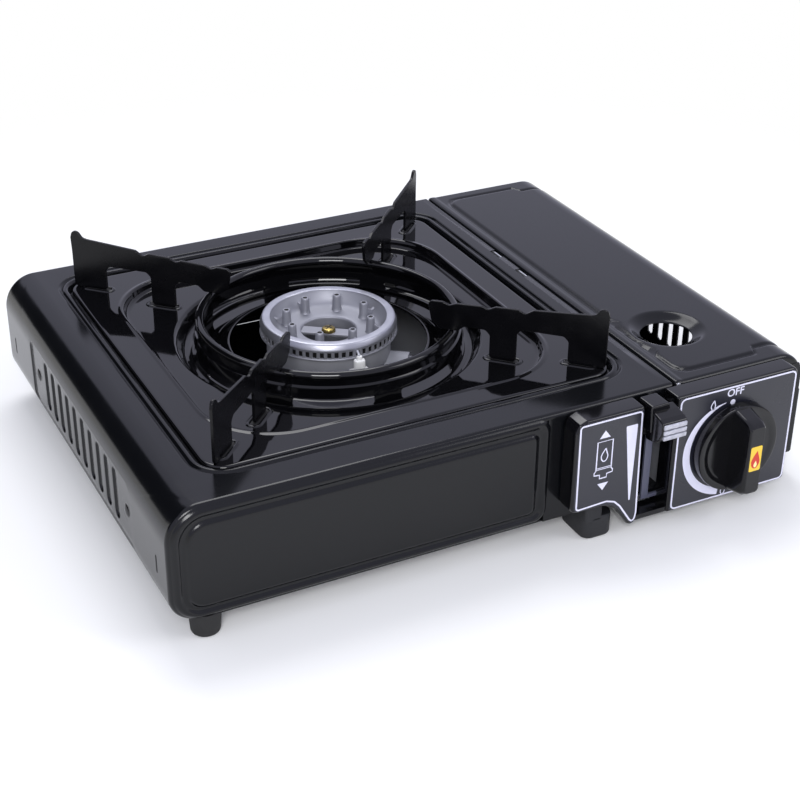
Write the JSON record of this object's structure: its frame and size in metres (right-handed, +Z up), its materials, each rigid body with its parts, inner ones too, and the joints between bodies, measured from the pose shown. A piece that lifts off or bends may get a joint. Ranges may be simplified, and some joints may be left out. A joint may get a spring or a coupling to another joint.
{
  "type": "butane cassette stove",
  "caption": "Portable gas stove with a lift-off drip tray and pan supports, a cast burner, a hinged cartridge lid, a lock lever and a gas knob.",
  "frame": {"origin": "on the ground plane, under the middle of the overall outline", "axes": "+X to the cartridge side, +Y to the back, +Z up; the controls face -Y"},
  "size_m": [0.346, 0.296, 0.1042],
  "materials": {
    "black_paint": "glossy baked paint on pressed steel",
    "black_enamel": "glossy vitreous enamel on pressed steel",
    "zinc_plated_steel": "bright zinc plating",
    "cast_aluminium": "die-cast, bead-blasted",
    "brass": "turned",
    "black_plastic": "moulded, satin gloss",
    "matte_black_plastic": "moulded, fine grain",
    "grey_plastic": "moulded, satin",
    "face_plate": "printed charcoal face",
    "sticker": "printed film",
    "rubber": "matte",
    "lead_sleeve": "silicone sleeve",
    "ceramic": "glazed white ceramic"
  },
  "bodies": {
    "case": {"top_shell": "black_paint", "front_plate": "black_paint", "back_plate": "black_paint", "right_wall": "black_paint", "base_pan": "black_paint", "partition_plate": "zinc_plated_steel", "heat_shield": "zinc_plated_steel", "cartridge_cradle": "zinc_plated_steel", "burner_bracket": "zinc_plated_steel", "mixing_tube": "zinc_plated_steel", "mixing_tube_plate": "zinc_plated_steel", "electrode_bracket": "zinc_plated_steel", "lever_bracket": "zinc_plated_steel", "lever_pivot": "zinc_plated_steel", "carriage_rail": "zinc_plated_steel", "collar_guide": "zinc_plated_steel", "lid_hinge_pins": "zinc_plated_steel", "wall_screws": "zinc_plated_steel", "base_screws": "zinc_plated_steel", "regulator_cover": "zinc_plated_steel", "regulator_spring": "zinc_plated_steel", "electrode_wire": "zinc_plated_steel", "lever_guide": "grey_plastic", "burner_body": "cast_aluminium", "burner_head": "cast_aluminium", "regulator_body": "cast_aluminium", "burner_screw": "brass", "injector_nozzle": "brass", "gas_pipe": "brass", "valve_body": "brass", "control_housing": "black_plastic", "label_plate": "face_plate", "knob_panel": "face_plate", "piezo_igniter": "black_plastic", "front_foot": "matte_black_plastic", "rubber_feet": "rubber", "inlet_seal": "rubber", "regulator_diaphragm": "rubber", "ignition_lead": "lead_sleeve", "electrode_insulator": "ceramic"},
    "lid": {"lid": "black_paint"},
    "cooking_top": {"drip_tray": "black_enamel", "pan_ring": "black_enamel", "pan_support_front_left": "black_enamel", "pan_support_front_right": "black_enamel", "pan_support_back_left": "black_enamel", "pan_support_back_right": "black_enamel"},
    "knob": {"knob": "black_plastic", "knob_sticker": "sticker", "valve_spindle": "zinc_plated_steel"},
    "lever": {"lever_arm": "zinc_plated_steel", "lever_handle": "black_plastic"},
    "carriage": {"cartridge_carriage": "zinc_plated_steel"}
  },
  "joints": [
    {"name": "lid_hinge", "type": "hinge", "parent": "case", "child": "lid", "pos_m": [0.094, 0, 0.0705], "axis": [0, -1, 0], "range_deg": [0, 100]},
    {"name": "pan_lift", "type": "slide", "parent": "case", "child": "cooking_top", "axis": [0, 0, 1], "range_m": [0, 0.06]},
    {"name": "knob_turn", "type": "hinge", "parent": "case", "child": "knob", "pos_m": [0.1205, -0.128, 0.0376], "axis": [0, -1, 0], "range_deg": [0, 180]},
    {"name": "lever_swing", "type": "hinge", "parent": "case", "child": "lever", "pos_m": [0.0818, -0.098, 0.038], "axis": [1, 0, 0], "range_deg": [0, 50]},
    {"name": "carriage_slide", "type": "slide", "parent": "case", "child": "carriage", "axis": [0, -1, 0], "range_m": [0, 0.0062]}
  ],
  "couplings": [
    {"joint": "carriage_slide", "follows": "lever_swing", "m_per_rad": 0.007}
  ]
}
